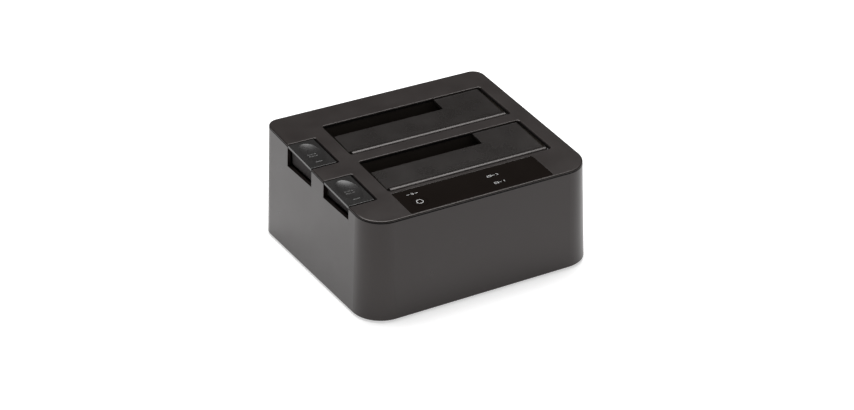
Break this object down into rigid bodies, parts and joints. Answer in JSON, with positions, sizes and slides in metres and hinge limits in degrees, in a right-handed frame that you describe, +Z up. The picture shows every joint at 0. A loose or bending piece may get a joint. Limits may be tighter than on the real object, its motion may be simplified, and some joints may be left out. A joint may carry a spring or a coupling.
{
  "type": "hard drive docking station",
  "caption": "Desktop docking station for bare hard drives: tapered housing, sloping top with sprung flaps over upright bays, side eject buttons with lifting levers.",
  "frame": {"origin": "centre of the base outline, on the plane that the rubber feet stand on", "axes": "+X to the right along the front face, +Y from the front face to the back, +Z up"},
  "size_m": [0.1464, 0.1282, 0.0698],
  "materials": {
    "cover_plastic": "fine matte texture",
    "flap_plastic": "fine matte texture",
    "button_plastic": "satin",
    "housing_plastic": "satin",
    "base_plastic": "fine matte texture",
    "inner_plastic": "matte",
    "lens_gloss": "glossy",
    "rubber": "matte",
    "spring_steel": "drawn wire",
    "screw_steel": "zinc plated",
    "board": "green solder mask",
    "chip_plastic": "moulded",
    "can_metal": "satin",
    "socket_metal": "nickel plated",
    "connector_plastic": "matte",
    "insulator_plastic": "moulded",
    "contact_gold": "plated",
    "clear_plastic": "clear",
    "led_resin": "clear resin",
    "ribbon_film": "film"
  },
  "bodies": {
    "dock": {"housing": "housing_plastic", "top_cover": "cover_plastic", "bottom_cover": "base_plastic", "rubber_feet": "rubber", "main_board": "board", "usb_socket": "socket_metal", "usb_insulator": "insulator_plastic", "dc_jack": "connector_plastic", "dc_jack_pin": "socket_metal", "bridge_chip": "chip_plastic", "flash_chip": "chip_plastic", "power_inductor": "chip_plastic", "capacitors": "can_metal", "control_lens": "lens_gloss", "power_switch": "socket_metal", "indicator_board": "board", "indicator_leds": "led_resin", "light_guide": "clear_plastic", "cable_headers": "connector_plastic", "panel_ribbon": "ribbon_film", "case_screws": "screw_steel", "cover_screws": "screw_steel", "bay_screws": "screw_steel", "board_screws": "screw_steel", "bracket_screws": "screw_steel", "panel_screws": "screw_steel", "rear_drive_bay": "inner_plastic", "rear_flap_spring": "spring_steel", "rear_button_spring": "spring_steel", "rear_eject_bracket": "inner_plastic", "rear_lever_pin": "screw_steel", "rear_sata_socket": "connector_plastic", "rear_sata_contacts": "contact_gold", "front_drive_bay": "inner_plastic", "front_flap_spring": "spring_steel", "front_button_spring": "spring_steel", "front_eject_bracket": "inner_plastic", "front_lever_pin": "screw_steel", "front_sata_socket": "connector_plastic", "front_sata_contacts": "contact_gold"},
    "rear_flap": {"rear_flap": "flap_plastic", "rear_hinge_pin": "screw_steel"},
    "rear_button": {"rear_eject_button": "button_plastic"},
    "rear_lever": {"rear_eject_lever": "connector_plastic"},
    "front_flap": {"front_flap": "flap_plastic", "front_hinge_pin": "screw_steel"},
    "front_button": {"front_eject_button": "button_plastic"},
    "front_lever": {"front_eject_lever": "connector_plastic"},
    "power_button": {"power_button": "lens_gloss", "switch_plunger": "connector_plastic"}
  },
  "joints": [
    {"name": "rear_flap_hinge", "type": "hinge", "parent": "dock", "child": "rear_flap", "pos_m": [0, 0.0108, 0.06299], "axis": [-1, 0, 0], "range_deg": [0, 92], "stiffness_Nm_per_rad": 0.006, "springref_deg": -20.05, "deforming": ["rear_flap_spring"]},
    {"name": "rear_button_slide", "type": "slide", "parent": "dock", "child": "rear_button", "axis": [0, 0, -1], "range_m": [0, 0.0055], "stiffness_N_per_m": 150, "springref_m": -0.004, "deforming": ["rear_button_spring"]},
    {"name": "rear_lever_pivot", "type": "hinge", "parent": "dock", "child": "rear_lever", "pos_m": [-0.05, 0.0306, 0.013], "axis": [0, -1, 0], "range_deg": [0, 28.2]},
    {"name": "front_flap_hinge", "type": "hinge", "parent": "dock", "child": "front_flap", "pos_m": [0, -0.0322, 0.05984], "axis": [-1, 0, 0], "range_deg": [0, 92], "stiffness_Nm_per_rad": 0.006, "springref_deg": -20.05, "deforming": ["front_flap_spring"]},
    {"name": "front_button_slide", "type": "slide", "parent": "dock", "child": "front_button", "axis": [0, 0, -1], "range_m": [0, 0.0055], "stiffness_N_per_m": 150, "springref_m": -0.004, "deforming": ["front_button_spring"]},
    {"name": "front_lever_pivot", "type": "hinge", "parent": "dock", "child": "front_lever", "pos_m": [-0.05, -0.0124, 0.013], "axis": [0, -1, 0], "range_deg": [0, 28.2]},
    {"name": "power_press", "type": "slide", "parent": "dock", "child": "power_button", "axis": [0, 0.0732, -0.9973], "range_m": [0, 0.0005], "stiffness_N_per_m": 400, "springref_m": -0.001}
  ],
  "couplings": [
    {"joint": "rear_lever_pivot", "follows": "rear_button_slide", "rad_per_m": 89.286},
    {"joint": "front_lever_pivot", "follows": "front_button_slide", "rad_per_m": 89.286}
  ]
}
